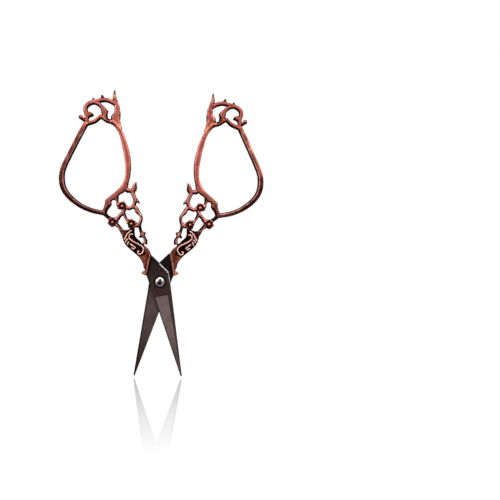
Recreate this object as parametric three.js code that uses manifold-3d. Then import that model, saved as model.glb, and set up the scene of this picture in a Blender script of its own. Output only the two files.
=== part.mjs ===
// Embroidery scissors with cast filigree handles, a plum-blossom tracery and slim ground blades.
// Millimetres. The scissors are drawn flat, seen from the front and closed: x to the right, y up
// from the pivot to the handles, z from the back face towards the viewer. The finished group is
// turned upright, so that the handles point along +Z and the front face looks along -Y. The origin
// is on the pivot axis, on the flat back of the pivot bush.
import * as THREE from 'three';
import { mergeVertices } from 'three/addons/utils/BufferGeometryUtils.js';
import Module from 'manifold-3d';

const wasm = await Module();
wasm.setup();

// Driving dimensions: the pose and the stack through the thickness
const openAngle = 28;            // degrees between the two halves, as they stand open
const handleThickness = 4.0;     // the castings at their thickest, and the plane they lie on
const bladeThickness = 1.4;
const bladeGap = 0.3;            // air between the inner faces of the two blades
const seatClearance = 0.25;      // a tang in its socket
const shoulderClearance = 0.05;  // a blade's shoulder against its collar
const stackClearance = 0.05;     // between the pieces threaded on the pivot
const runningClearance = 0.15;   // radial, blades on the bush and screw in the bush

// Driving dimensions: the blades
const bladeLength = 42.4;        // pivot to tip
const bladeWidth = 7.4;          // where the grind starts
const grindStart = 5.8;          // pivot down to the shoulder of the grind
const grindDepth = 0.18;         // step down from the ricasso to the ground face
const edgeThickness = 0.22;      // left on the cutting edge
const spineInset = 1.5;          // ridge of the grind, in from the spine
const spineThickness = 0.75;     // left on the spine at the shoulder
const tipWidth = 0.55;
const tipThickness = 0.55;
const tailChamfer = 0.55;        // bright slanted edge on the tail
const tangRoot = [-1.6, 7];       // inside the ricasso
const tangEnd = [-7, 18];         // inside the shank of the handle
const tangRootWidth = 2.0;
const tangEndWidth = 1.5;
const tangThickness = 0.85;

// Driving dimensions: the shoulder where blade and handle meet, on the front half
const collarTop = [-1, 12.3];
const collarFoot = [-4.9, 3.9];
const tailCorner = [4.8, 3.2];
const collarWidth = 1.15;
const collarHeelRadius = 0.95;

// Driving dimensions: the pivot
const bushDiameter = 3.4;
const bushFlangeDiameter = 5.0;
const screwDiameter = 2.0;
const headDiameter = 4.5;
const headHeight = 1.15;
const headRim = 0.3;             // upright edge under the dome
const washerDiameter = 5.5;
const washerThickness = 0.3;
const boreFloor = 0.5;           // metal left behind the blind bore of the bush
const pivotSides = 28;

// Driving dimensions: the castings
const handleHeight = 85.5;       // pivot to the tip of the spike on the crown
const stopDrop = 7.1;            // tip of the spike down to the stop between the handles
const crownThickness = 3.6;
const traceryThickness = 3.2;
const thornThickness = 2.4;
const shankThickness = 3.4;
const shankEdge = 0.4;           // rounded edge of the shank
const reliefWidth = 0.75;        // raised scrolls on the shank
const knobRadius = 0.85;
const blossomRadius = 2.05;
const blossomThickness = 3.7;
const petalCount = 5;
const stopGap = 0.3;             // between the two stops when the scissors are shut

const midPlane = handleThickness / 2;
const frontInner = midPlane + bladeGap / 2;
const frontOuter = frontInner + bladeThickness;
const backOuter = midPlane - bladeGap / 2 - bladeThickness;
const stopHeight = handleHeight - stopDrop;
const growth = handleHeight / 85.5;   // the tracery is drawn for a handle 85.5 mm tall

// Solids and meshes

function toSolid(geometry) {
  geometry.deleteAttribute('normal');
  geometry.deleteAttribute('uv');
  const merged = mergeVertices(geometry, 1e-4);
  return new wasm.Manifold(new wasm.Mesh({
    numProp: 3,
    vertProperties: merged.attributes.position.array,
    triVerts: new Uint32Array(merged.index.array),
  }));
}

function toGeometry(solid) {
  const { vertProperties, triVerts } = solid.getMesh();
  const geometry = new THREE.BufferGeometry();
  geometry.setAttribute('position', new THREE.BufferAttribute(vertProperties, 3));
  geometry.setIndex(new THREE.BufferAttribute(triVerts, 1));
  geometry.computeVertexNormals();
  return geometry;
}

const join = (solids) => solids.reduce((sum, solid) => sum.add(solid));

// A closed skin over rings of points that run one after the other; the two end rings are convex.
function loft(rings) {
  const sides = rings[0].length;
  const points = rings.flat();
  const index = [];
  for (let r = 0; r + 1 < rings.length; r++) {
    for (let s = 0; s < sides; s++) {
      const a = r * sides + s;
      const b = r * sides + (s + 1) % sides;
      index.push(a, b, a + sides, b, b + sides, a + sides);
    }
  }
  const last = (rings.length - 1) * sides;
  for (let s = 1; s + 1 < sides; s++) {
    index.push(0, s + 1, s, last, last + s, last + s + 1);
  }
  const geometry = new THREE.BufferGeometry().setFromPoints(points);
  geometry.setIndex(index);
  const solid = toSolid(geometry);
  if (solid.volume() > 0) return solid;
  geometry.setIndex(index.reverse());
  return toSolid(geometry);
}

function extrudeFlat(outline, bottom, top, edge = 0) {
  const geometry = new THREE.ExtrudeGeometry(new THREE.Shape(outline), {
    depth: top - bottom - 2 * edge,
    bevelEnabled: edge > 0,
    bevelThickness: edge,
    bevelSize: edge,
    bevelOffset: -edge,
    bevelSegments: 1,
  });
  return toSolid(geometry.translate(0, 0, bottom + edge));
}

function revolve(profile) {
  const points = profile.map(([radius, height]) => new THREE.Vector2(radius, height));
  return toSolid(new THREE.LatheGeometry(points, pivotSides).rotateX(Math.PI / 2));
}

const point = ([x, y]) => new THREE.Vector2(x, y);
const spline = (points, steps) => new THREE.SplineCurve(points.map(point)).getSpacedPoints(steps);
const mix = (a, b, share) => a + (b - a) * share;

// Section across a cast bar: flat on the front and the back, with rounded or ridged sides.
function barSection(half, tall, ridged) {
  const flat = half * 0.6;
  const drop = Math.min(half * 0.7, tall * 0.6);
  const side = ridged ? [[half, 0]] : [[half, drop - tall], [half, tall - drop]];
  const right = [[flat, -tall], ...side, [flat, tall]];
  return [...right, ...right.map(([x, z]) => [-x, -z])];
}

// A cast bar along a smooth path, whose points are [x, y, width].
function sweep(path, thickness, stepsPerSpan = 2, ridged = false) {
  const curve = new THREE.SplineCurve(path.map(point));
  const spans = path.length - 1;
  const steps = spans * stepsPerSpan;
  const rings = [];
  for (let i = 0; i <= steps; i++) {
    const span = Math.min(Math.floor(i / stepsPerSpan), spans - 1);
    const width = mix(path[span][2], path[span + 1][2], i / stepsPerSpan - span);
    const centre = curve.getPoint(i / steps);
    const along = curve.getTangent(i / steps);
    rings.push(barSection(width / 2, thickness / 2, ridged).map(([side, rise]) => new THREE.Vector3(
      centre.x - along.y * side, centre.y + along.x * side, midPlane + rise)));
  }
  return loft(rings);
}

// Bars of the tracery, which grows with the handle: sturdy ones, and vines with ridged sides.
const onCasting = (place) => place.map((value) => value * growth);
const bar = (path, thickness, stepsPerSpan) => sweep(path.map(onCasting), thickness, stepsPerSpan);
const vine = (path, thickness, stepsPerSpan) => sweep(path.map(onCasting), thickness, stepsPerSpan, true);

function bead([x, y], radius, thickness, sides = 8, rows = 5) {
  const geometry = new THREE.SphereGeometry(radius, sides, rows).rotateX(Math.PI / 2);
  return toSolid(geometry.scale(1, 1, thickness / 2 / radius).translate(x, y, midPlane));
}

// The line of the collar, and places beside it

const collarRun = point(collarFoot).sub(point(collarTop)).normalize();
const collarOut = new THREE.Vector2(collarRun.y, -collarRun.x);
const besideCollar = (end, away, on = 0) => point(end).addScaledVector(collarOut, away)
  .addScaledVector(collarRun, on).toArray();

// Blade: ricasso, ground part, tang and pivot hole

function tangOutline(grow) {
  const root = point(tangRoot);
  const end = point(tangEnd);
  const along = end.clone().sub(root).normalize();
  const across = new THREE.Vector2(-along.y, along.x);
  end.addScaledVector(along, grow);
  const corner = (from, width, side) => from.clone().addScaledVector(across, side * (width / 2 + grow));
  return [
    corner(root, tangRootWidth, -1), corner(end, tangEndWidth, -1),
    corner(end, tangEndWidth, 1), corner(root, tangRootWidth, 1),
  ];
}

function groundPart() {
  const overlap = 0.3;
  const section = (y, share) => {
    const half = mix(bladeWidth, tipWidth, share) / 2;
    const tall = mix(bladeThickness - grindDepth, tipThickness, share);
    const ridge = half - mix(spineInset, tipWidth * 0.4, share);
    const spine = mix(spineThickness, tipThickness * 0.6, share);
    return [[-half, 0], [half, 0], [half, spine], [ridge, tall], [-half, edgeThickness]]
      .map(([x, z]) => new THREE.Vector3(x, y, frontInner + z));
  };
  return loft([section(overlap - grindStart, 0), section(-grindStart, 0), section(-bladeLength, 1)]);
}

// Cutter for a slanted edge along the outline, from one share of the run to another.
function slantedEdge(from, to, shares, sizes) {
  const run = point(to).sub(point(from));
  const out = new THREE.Vector2(-run.y, run.x).normalize();
  return loft([0, 1].map((end) => {
    const foot = point(from).addScaledVector(run, shares[end]);
    return [[-sizes[end], 0], [0.3, -sizes[end] - 0.3], [0.3, 0.3], [-sizes[end], 0.3]].map(([away, rise]) =>
      new THREE.Vector3(foot.x + out.x * away, foot.y + out.y * away, frontOuter + rise));
  }));
}

function blade(holeDiameter) {
  const grind = bladeWidth / 2;
  const ricasso = [
    [-grind, -grindStart], [grind, -grindStart], tailCorner, collarTop, collarFoot,
  ].map(point);
  const hole = extrudeFlat(
    new THREE.Path().absarc(0, 0, holeDiameter / 2, 0, 2 * Math.PI).getPoints(pivotSides / 2),
    frontInner - bladeGap / 2, frontOuter + bladeGap / 2);
  const body = extrudeFlat(ricasso, frontInner, frontOuter)
    .subtract(slantedEdge(collarTop, tailCorner, [-0.1, 1.1], [tailChamfer, tailChamfer]))
    .subtract(slantedEdge(tailCorner, ricasso[1].toArray(), [-0.1, 0.5], [tailChamfer, tailChamfer * 0.15]));
  return join([body, groundPart(), extrudeFlat(tangOutline(0), frontInner, frontInner + tangThickness)])
    .subtract(hole);
}

// Handle: finger bow, crown, blossom tracery, thorny stem, shank and collar

const upperBlossom = [-8.5, 36.2];
const outerBlossom = [-14, 30.3];
const lowerBlossom = [-6.3, 27.8];
const to = ([x, y], width) => [x, y, width];

function fingerBow() {
  return [
    bar([[-15.8, 74.2, 2], [-19, 70.7, 2.3], [-23.65, 65, 2.2], [-27.75, 60, 2.3], [-30.4, 56, 2.4],
      [-31.6, 51.5, 2.6], [-31.2, 47.5, 2.5], [-29.2, 43.6, 2.4], [-26.1, 40, 2.2], [-22.5, 37.5, 2.1],
      [-19, 35.8, 2.1], [-16.6, 34.4, 1.9]], handleThickness),
    bar([[-5.2, 72.9, 1.6], [-4.2, 71.8, 1.7], [-3, 69.7, 1.8], [-2.1, 66.5, 2], [-1.75, 62, 2.4],
      [-1.8, 57, 2.7], [-2.2, 53, 2.5], [-2.9, 50, 2.3], [-4.1, 46.8, 2.2], [-6.2, 44, 2.3], [-9, 42.1, 2],
      [-12.2, 40.6, 1.8], [-15.3, 39.1, 1.7]], handleThickness),
    bar([[-14.6, 39.6, 1.8], [-15.5, 37.2, 2], [-16.9, 34.5, 2]], handleThickness),
  ];
}

function crown() {
  const stopCentre = -stopGap / 2 - 0.6;
  return [
    bar([[-16.2, 73.9, 1.6], [-13.2, 74.1, 1.6], [-11.2, 74.6, 1.6], [-8.8, 76.1, 1.4]], crownThickness),
    bar([[-9.4, 76, 1.4], [-7.6, 74.3, 1.6], [-5.9, 73.1, 1.6], [-4.1, 71.6, 1.6]], crownThickness),
    bar([[-15.6, 74.2, 1.8], [-15, 77.5, 1.6], [-14.95, 79.7, 1.9], [-14.4, 81.1, 1.9], [-13.1, 82, 1.9],
      [-11.4, 82.4, 1.9], [-9.9, 82, 1.8], [-8.6, 80.8, 1.6], [-7.6, 79.2, 1.8], [-7.1, 77.4, 3],
      [-7.2, 75.8, 2.2], [-6.9, 74, 1.2]], crownThickness),
    bar([[-10.4, 82.6, 1.5], [-7.8, 82.5, 1.7], [-6.2, 82.4, 1.7], [-4.6, 81.9, 1.8], [-3, 80.8, 1.8],
      [-1.7, 79.4, 1.5]], crownThickness),
    sweep([[-1.4, stopHeight + 3.4, 1.6], [-1.25, stopHeight, 1.6], [-1.35, stopHeight - 1.6, 1.6],
      [-2.05, stopHeight - 3.4, 3.4], [-2.9, stopHeight - 4.9, 4.4], [-2.7, stopHeight - 6.6, 2.6],
      onCasting([-2.2, 68.6, 1.9])], crownThickness),
    sweep([[stopCentre, stopHeight - 1.2, 0.8], [stopCentre, stopHeight, 1.2], [stopCentre, stopHeight + 1.2, 0.8]],
      crownThickness, 1),
    vine([[-7.4, 78.2, 1.6], [-5.4, 77.1, 0.4]], thornThickness, 1),
    bar([[-15, 77.3, 3.2], [-13.6, 77.6, 2.4], [-12.1, 76.9, 0.9]], crownThickness),
    vine([[-15.4, 75, 1.8], [-16.7, 76, 1.5], [-17.4, 77.1, 1.4]], thornThickness),
    bead(onCasting([-17.5, 77.3]), knobRadius, thornThickness),
    vine([[-10.6, 82.3, 2.4], [-10.6, 83.3, 1.3], [-10.6, 84.3, 0.6]], thornThickness, 1),
    vine([[-6.6, 82.4, 3], [-6.6, 83.5, 1.7], [-6.6, 84.7, 0.7]], thornThickness, 1),
    sweep([[-1.65, stopHeight + 2.5, 2.1], [-1.5, stopHeight + 4.6, 1.5], [-1.1, stopHeight + 6.1, 1],
      [-0.7, handleHeight, 0.5]], thornThickness, 2, true),
  ];
}

// A five-petalled blossom, the same on both faces, with a round eye that stands proud.
function blossom(place, turn) {
  const [x, y] = onCasting(place);
  const sides = petalCount * 4;
  const ring = (radius, lobes, rise) => Array.from({ length: sides }, (_, i) => {
    const angle = i / sides * 2 * Math.PI;
    const reach = radius * (1 + lobes * (Math.cos(petalCount * angle) - 1));
    const heading = angle + THREE.MathUtils.degToRad(turn);
    return new THREE.Vector3(x + reach * Math.cos(heading), y + reach * Math.sin(heading), midPlane + rise);
  });
  const tall = blossomThickness / 2;
  return [
    loft([
      ring(blossomRadius * 0.62, 0, -tall), ring(blossomRadius, 0.14, -tall * 0.7),
      ring(blossomRadius, 0.14, tall * 0.7), ring(blossomRadius * 0.62, 0, tall),
    ]),
    bead([x, y], blossomRadius * 0.3, handleThickness, 6, 4),
  ];
}

function tracery() {
  return [
    ...blossom(upperBlossom, 60),
    ...blossom(outerBlossom, 40),
    ...blossom(lowerBlossom, 80),
    vine([[-5.6, 43.4, 1.6], [-4.6, 42.3, 1.7], [-3.1, 41.4, 2], [-2.6, 39.4, 1.6], [-2.65, 37.3, 1.7],
      [-3.4, 35.4, 1.8], [-5, 34.6, 1.6], [-6.9, 34.8, 1.5], to(upperBlossom, 1.4)], traceryThickness),
    vine([[-10.2, 41.2, 1.6], [-10.2, 38.9, 1.3], [-10, 37.3, 1.4], to(upperBlossom, 1.4)], traceryThickness),
    vine([[-3.4, 41.1, 1.8], [-2.1, 41.9, 2.7], [-1.5, 43.2, 2.1], [-0.7, 45, 0.7]], traceryThickness),
    vine([[-2.8, 38, 1.7], [-1.9, 36.8, 1.4], [-1.05, 35.4, 0.6]], thornThickness),
    vine([[-4.6, 35.2, 1.6], [-2.9, 33.6, 1.8], [-2.5, 32.1, 2], [-1.7, 30.3, 1.4], [-1.75, 28.7, 1.4],
      [-2.6, 27.2, 1.7], [-4.2, 26.9, 1.6], to(lowerBlossom, 1.6)], traceryThickness),
    vine([to(outerBlossom, 1.4), [-11.6, 31.3, 1.6], [-9.9, 32.4, 1.8], [-8.3, 33.9, 1.9],
      to(upperBlossom, 1.4)], traceryThickness),
    vine([[-8.7, 33.4, 1.8], [-8.4, 31.5, 1.3], [-8.05, 30.1, 1.3], to(lowerBlossom, 1.4)], traceryThickness),
    vine([[-16.8, 34.8, 2], [-16.1, 33.2, 1.7], [-14.8, 31.7, 1.6], to(outerBlossom, 1.4)], traceryThickness),
    vine([to(outerBlossom, 1.4), [-12.4, 28.2, 1.6], [-11.7, 26.8, 1.6], [-10.8, 24.2, 2]], traceryThickness),
    vine([to(lowerBlossom, 1.8), [-6.6, 24.4, 2.2]], traceryThickness, 1),
  ];
}

function thornyStem() {
  return [
    vine([[-2.9, 27.2, 1.6], [-3.2, 24.8, 1.3], [-3.1, 23.2, 1.5], [-2.8, 21.8, 2], [-2.3, 20.4, 1.2],
      [-2.1, 18.9, 1.8], [-2.7, 17.4, 1.9]], traceryThickness),
    vine([[-2.6, 21.6, 1.8], [-4.5, 21, 0.8]], thornThickness, 1),
    vine([[-2.9, 21.9, 1.9], [-1.3, 22.4, 1]], thornThickness, 1),
  ];
}

function shank() {
  const outerEdge = spline([[-10.6, 26], [-11.4, 24.6], [-11.6, 22.5], [-11, 19.2], [-8.6, 15.6], [-6.4, 12.4],
    [-5.4, 9.4], [-5.5, 7.6]].map(onCasting), 12);
  const innerEdge = spline([[-1.45, 14], [-2.5, 15.9], [-3.3, 17.2], [-4.8, 20], [-5.8, 21.2], [-6.1, 22.6],
    [-5.7, 24.2], [-6.2, 25.6]].map(onCasting), 10);
  const throat = spline([[-7.3, 25.9], [-8.3, 25.4], [-9.4, 25.4]].map(onCasting), 3);
  const foot = point(besideCollar(collarFoot, shoulderClearance, -1));
  const top = point(besideCollar(collarTop, shoulderClearance));
  return [
    extrudeFlat([...outerEdge, foot, top, ...innerEdge, ...throat], midPlane - shankThickness / 2,
      midPlane + shankThickness / 2, shankEdge),
    sweep([collarTop, collarFoot].map((end) => to(besideCollar(end, shoulderClearance + collarWidth / 2), collarWidth)),
      handleThickness, 1),
    bead(besideCollar(collarFoot, shoulderClearance + collarHeelRadius, -1), collarHeelRadius, handleThickness),
  ];
}

function scrollRelief() {
  const scrolls = [
    [[-8.9, 21.6], [-7.6, 20], [-6, 18.6], [-4.6, 17.4], [-3.9, 16.2], [-4, 15], [-4.6, 14.1], [-5.6, 13.5],
      [-6.5, 14.1], [-6.6, 14.9], [-5.8, 15.2]],
    [[-11, 21.4], [-10, 22.4], [-9.4, 23.4], [-8.2, 24.2], [-7, 24.8]],
    [[-8.8, 21.7], [-8.4, 22.8], [-7.6, 23.3], [-6.9, 22.7]],
    [[-10.8, 20.2], [-9.5, 21.5]],
    [[-10.2, 19], [-9.3, 20.3]],
    [[-8.9, 19.2], [-7.8, 17.8], [-7.1, 16.9], [-8, 16.5], [-8.8, 17.4]],
  ];
  return scrolls.map((path) => vine(path.map((place) => to(place, reliefWidth)), handleThickness, 1));
}

function handle() {
  const casting = join([
    ...fingerBow(), ...crown(), ...tracery(), ...thornyStem(), ...shank(), ...scrollRelief(),
  ]);
  const socket = extrudeFlat(tangOutline(seatClearance), frontInner - seatClearance,
    frontInner + tangThickness + seatClearance);
  return casting.subtract(socket);
}

// Pivot: domed screw, washer and flanged bush

function pivotScrew() {
  const seat = frontOuter + 2 * stackClearance + washerThickness;
  const radius = headDiameter / 2;
  const shank = screwDiameter / 2;
  const end = boreFloor + 3 * stackClearance;
  const dome = Array.from({ length: 5 }, (_, i) => {
    const turn = (i + 1) / 5 * Math.PI / 2;
    return [radius * Math.cos(turn), seat + headRim + (headHeight - headRim) * Math.sin(turn)];
  });
  dome[dome.length - 1][0] = 0;
  return revolve([[0, end], [shank, end], [shank, seat], [radius, seat], [radius, seat + headRim], ...dome]);
}

function pivotWasher() {
  const inner = screwDiameter / 2 + runningClearance;
  const outer = washerDiameter / 2;
  const bottom = frontOuter + stackClearance;
  const top = bottom + washerThickness;
  const rim = washerThickness / 3;
  return revolve([[inner, bottom], [outer, bottom], [outer, top - rim], [outer - rim, top], [inner, top],
    [inner, bottom]]);
}

function pivotBush() {
  const flange = bushFlangeDiameter / 2;
  const barrel = bushDiameter / 2;
  const bore = screwDiameter / 2 + runningClearance;
  const flangeTop = backOuter - stackClearance;
  const end = frontOuter - stackClearance;
  return revolve([[0, 0], [flange, 0], [flange, flangeTop], [barrel, flangeTop], [barrel, end], [bore, end],
    [bore, boreFloor], [0, boreFloor]]);
}

// Assembly

const copper = new THREE.MeshStandardMaterial({ color: 0xb4604e, metalness: 0.9, roughness: 0.42 });
const brownSteel = new THREE.MeshStandardMaterial({ color: 0x4a3d3b, metalness: 0.85, roughness: 0.5 });
const brightSteel = new THREE.MeshStandardMaterial({ color: 0xd8d8d8, metalness: 1, roughness: 0.15 });
const blackSteel = new THREE.MeshStandardMaterial({ color: 0x1c1716, metalness: 0.8, roughness: 0.5 });

function piece(name, solid, material) {
  const mesh = new THREE.Mesh(toGeometry(solid), material);
  mesh.name = name;
  return mesh;
}

const halfOpen = THREE.MathUtils.degToRad(openAngle / 2);
const casting = handle();
const pivotBlade = blade(bushDiameter + 2 * runningClearance);

const frontHalf = new THREE.Group();
frontHalf.rotation.z = halfOpen;
frontHalf.add(piece('front_blade', pivotBlade, brownSteel), piece('left_handle', casting, copper));

// The back half is the same blade and casting, turned over about the scissors' long axis.
const turnedOver = new THREE.Group();
turnedOver.rotation.y = Math.PI;
turnedOver.position.z = 2 * midPlane;
turnedOver.add(piece('rear_blade', pivotBlade, brownSteel), piece('right_handle', casting, copper));
const rearHalf = new THREE.Group();
rearHalf.rotation.z = -halfOpen;
rearHalf.add(turnedOver);

const pivot = new THREE.Group();
pivot.add(
  piece('pivot_screw', pivotScrew(), brightSteel),
  piece('pivot_washer', pivotWasher(), blackSteel),
  piece('pivot_bush', pivotBush(), brightSteel),
);

const scissors = new THREE.Group();
scissors.rotation.x = Math.PI / 2;
scissors.add(frontHalf, rearHalf, pivot);

const upright = new THREE.Group();
upright.add(scissors);

export default upright;
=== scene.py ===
# Embroidery scissors: cast copper handles, browned blades and a bright domed pivot.
import math
import bmesh
import bpy
import numpy as np
from mathutils import Matrix, Vector


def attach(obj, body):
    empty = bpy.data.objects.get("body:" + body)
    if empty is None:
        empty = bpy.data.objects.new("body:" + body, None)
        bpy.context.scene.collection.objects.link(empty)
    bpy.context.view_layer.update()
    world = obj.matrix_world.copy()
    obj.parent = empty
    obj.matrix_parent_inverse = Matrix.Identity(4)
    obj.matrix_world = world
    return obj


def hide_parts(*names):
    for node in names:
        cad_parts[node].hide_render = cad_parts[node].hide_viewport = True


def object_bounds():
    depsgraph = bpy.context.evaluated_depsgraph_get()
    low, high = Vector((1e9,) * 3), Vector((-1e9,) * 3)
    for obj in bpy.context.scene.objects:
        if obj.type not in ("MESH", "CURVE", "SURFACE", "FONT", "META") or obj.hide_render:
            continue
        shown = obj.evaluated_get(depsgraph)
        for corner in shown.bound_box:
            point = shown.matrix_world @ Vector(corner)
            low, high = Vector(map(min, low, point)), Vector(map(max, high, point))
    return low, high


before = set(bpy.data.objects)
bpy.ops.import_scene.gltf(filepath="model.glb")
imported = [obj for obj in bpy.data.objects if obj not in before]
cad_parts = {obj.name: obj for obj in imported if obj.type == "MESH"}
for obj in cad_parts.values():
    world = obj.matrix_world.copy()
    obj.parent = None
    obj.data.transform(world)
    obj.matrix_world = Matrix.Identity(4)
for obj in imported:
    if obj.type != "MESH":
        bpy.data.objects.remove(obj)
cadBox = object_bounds()
print("frame loaded:", sorted(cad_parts))

mm = 0.001
layout = {
    "halfOpen": math.radians(14), "midPlane": 2.0, "weld": 1e-6,
    # the line where a blade's shoulder meets the collar, and the way it faces
    "shoulder": ((-1, 12.3), (-4.9, 3.9)), "shoulderWay": (-0.907, 0.421),
}


def linkPiece(name, mesh):
    piece = bpy.data.objects.new(name, mesh)
    bpy.context.scene.collection.objects.link(piece)
    return piece


# a copy of a solid with its double corners welded, and with its flat faces joined if an angle is given
def copySolid(name, node, flatAngle=None):
    mesh = bpy.data.meshes.new(name)
    copied = bmesh.new()
    copied.from_mesh(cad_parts[node].data)
    bmesh.ops.remove_doubles(copied, verts=copied.verts, dist=layout["weld"])
    if flatAngle:
        bmesh.ops.dissolve_limit(copied, angle_limit=flatAngle, verts=copied.verts, edges=copied.edges)
    copied.to_mesh(mesh)
    copied.free()
    return linkPiece(name, mesh)


def bakeModifiers(piece):
    graph = bpy.context.evaluated_depsgraph_get()
    mesh = bpy.data.meshes.new_from_object(piece.evaluated_get(graph))
    piece.modifiers.clear()
    piece.data = mesh
    return mesh


# drawing plane of one half, shut: x right, y up, z towards the viewer, in mm
def toDrawing(points, side):
    flat = np.stack([points[:, 0], points[:, 2], -points[:, 1]], 1) / mm
    turn = -side * layout["halfOpen"]
    cosTurn, sinTurn = math.cos(turn), math.sin(turn)
    x = flat[:, 0] * cosTurn - flat[:, 1] * sinTurn
    y = flat[:, 0] * sinTurn + flat[:, 1] * cosTurn
    if side > 0:
        return np.stack([x, y, flat[:, 2]], 1)
    return np.stack([-x, y, 2 * layout["midPlane"] - flat[:, 2]], 1)


# a move in the drawing plane, as a move of the open pair
def fromDrawing(x, y, side):
    turn = side * layout["halfOpen"]
    cosTurn, sinTurn = math.cos(turn), math.sin(turn)
    x = x * side
    return np.stack([x * cosTurn - y * sinTurn, 0 * x, x * sinTurn + y * cosTurn], -1) * mm


# how far points of the drawing lie from a place: across, up and straight
def fromPlace(drawn, place, least=0):
    dx, dy = drawn[:, 0] - place[0], drawn[:, 1] - place[1]
    return dx, dy, np.maximum(np.hypot(dx, dy), least)


# soft masks, from 0 to 1
def ramp(values, low, high):
    share = np.clip((values - low) / (high - low), 0, 1)
    return share * share * (3 - 2 * share)


def fall(values, low, high):
    return ramp(-values, -high, -low)


def ring(reach, radius, width):
    return np.exp(-((reach - radius) / width) ** 2)


def spot(drawn, place, reach):
    return np.exp(-((drawn[:, 0] - place[0]) ** 2 + (drawn[:, 1] - place[1]) ** 2) / reach ** 2)


def most(*masks):
    return np.maximum.reduce(masks)


# nodes of a material, made by short calls
def newMaterial(name):
    material = bpy.data.materials.new(name)
    material.use_nodes = True
    tree = material.node_tree
    return material, tree, tree.nodes["Principled BSDF"]


def addNode(tree, kind, inputs=None, **settings):
    node = tree.nodes.new(kind)
    for key, value in settings.items():
        setattr(node, key, value)
    for key, value in (inputs or {}).items():
        if isinstance(value, bpy.types.NodeSocket):
            tree.links.new(value, node.inputs[key])
        else:
            node.inputs[key].default_value = value
    return node


def objectPlace(tree):
    return addNode(tree, "ShaderNodeTexCoord").outputs["Object"]


# a value that was painted on the mesh
def painted(tree, name):
    return addNode(tree, "ShaderNodeAttribute", attribute_name=name).outputs["Fac"]


def mathNode(tree, operation, *values):
    return addNode(tree, "ShaderNodeMath", dict(enumerate(values)), operation=operation).outputs[0]


def vectorLength(tree, vector):
    return addNode(tree, "ShaderNodeVectorMath", {0: vector}, operation="LENGTH").outputs["Value"]


def mixShader(tree, share, first, second):
    return addNode(tree, "ShaderNodeMixShader", {0: share, 1: first, 2: second}).outputs[0]


def colourRamp(tree, factor, stops):
    node = addNode(tree, "ShaderNodeValToRGB", {"Fac": factor})
    elements = node.color_ramp.elements
    while len(elements) < len(stops):
        elements.new(0.5)
    for element, (place, colour) in zip(elements, stops):
        element.position = place
        element.color = (*colour, 1)
    return node.outputs["Color"]


def mixColour(tree, factor, first, second, kind="MIX"):
    node = addNode(tree, "ShaderNodeMix", data_type="RGBA", blend_type=kind)
    for key, value in ((0, factor), (6, first), (7, second)):
        if isinstance(value, bpy.types.NodeSocket):
            tree.links.new(value, node.inputs[key])
        elif isinstance(value, tuple):
            node.inputs[key].default_value = (*value, 1)
        else:
            node.inputs[key].default_value = value
    return node.outputs[2]


def noise(tree, vector, scale, detail, roughness=0.55):
    return addNode(tree, "ShaderNodeTexNoise", {"Vector": vector, "Scale": scale, "Detail": detail,
                                                "Roughness": roughness}).outputs["Fac"]


def mapRange(tree, value, low, high, toLow, toHigh):
    return addNode(tree, "ShaderNodeMapRange", {"Value": value, "From Min": low, "From Max": high,
                                                "To Min": toLow, "To Max": toHigh}).outputs["Result"]


def addBump(tree, shader, height, strength, depth):
    bump = addNode(tree, "ShaderNodeBump", {"Height": height, "Strength": strength, "Distance": depth})
    tree.links.new(bump.outputs["Normal"], shader.inputs["Normal"])


# cast handles: the metal

copperLook = {
    "mottle": (420, 5), "patches": (150, 2), "grain": (2600, 3),  # scale and detail
    "mottleRange": (0.3, 0.7), "uneven": (-0.1, 0.1), "patchRange": (0.46, 0.68), "patchTan": (0, 0.9),
    "rosy": [(0.3, (0.6, 0.125, 0.1)), (0.52, (0.76, 0.19, 0.155)), (0.75, (0.88, 0.3, 0.255))],
    "tawny": [(0.3, (0.44, 0.11, 0.045)), (0.52, (0.66, 0.21, 0.1)), (0.75, (0.84, 0.35, 0.21))],
    # pale colour of polish and of painted highlights
    "polished": (0.98, 0.62, 0.53),
    # the patina ramp darkens the metal by its wear value, which holds patina and painted shade
    "patina": [(0.1, (0.014, 0.008, 0.008)), (0.4, (0.055, 0.038, 0.04)), (0.58, (0.27, 0.22, 0.23)),
               (0.78, (0.8, 0.77, 0.78)), (0.95, (1, 1, 1))],
    "wearShadeRange": (0.1, 0.9), "roughness": (0.62, 0.36), "metallic": 0.95,
    "grainStrength": 0.12, "grainDepth": 0.00005,
}


def copperMaterial():
    look = copperLook
    material, tree, shader = newMaterial("antique_copper")
    place = objectPlace(tree)
    mottle = noise(tree, place, *look["mottle"])
    patches = noise(tree, place, *look["patches"])
    # patina eats into the rubbed metal unevenly; the wear value it changes also holds painted shade
    uneven = mapRange(tree, mottle, *look["mottleRange"], *look["uneven"])
    wearShade = mathNode(tree, "ADD", painted(tree, "wearAndShade"), uneven)
    tan = mapRange(tree, patches, *look["patchRange"], *look["patchTan"])
    tan = mathNode(tree, "MAXIMUM", painted(tree, "tan"), tan)
    rosy = colourRamp(tree, mottle, look["rosy"])
    tawny = colourRamp(tree, mottle, look["tawny"])
    metal = mixColour(tree, tan, rosy, tawny)
    metal = mixColour(tree, painted(tree, "polished"), metal, look["polished"])
    patina = colourRamp(tree, wearShade, look["patina"])
    colour = mixColour(tree, 1.0, metal, patina, "MULTIPLY")
    tree.links.new(colour, shader.inputs["Base Color"])
    # patina and painted shade stay dark where they are seen at a slant
    tree.links.new(patina, shader.inputs["Specular Tint"])
    roughness = mapRange(tree, wearShade, *look["wearShadeRange"], *look["roughness"])
    tree.links.new(roughness, shader.inputs["Roughness"])
    shader.inputs["Metallic"].default_value = look["metallic"]
    grain = noise(tree, place, *look["grain"])
    addBump(tree, shader, grain, look["grainStrength"], look["grainDepth"])
    return material


# points or normals of a mesh
def meshValues(mesh, kind):
    values = np.empty(len(mesh.vertices) * 3)
    mesh.vertices.foreach_get(kind, values)
    return values.reshape(-1, 3)


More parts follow.
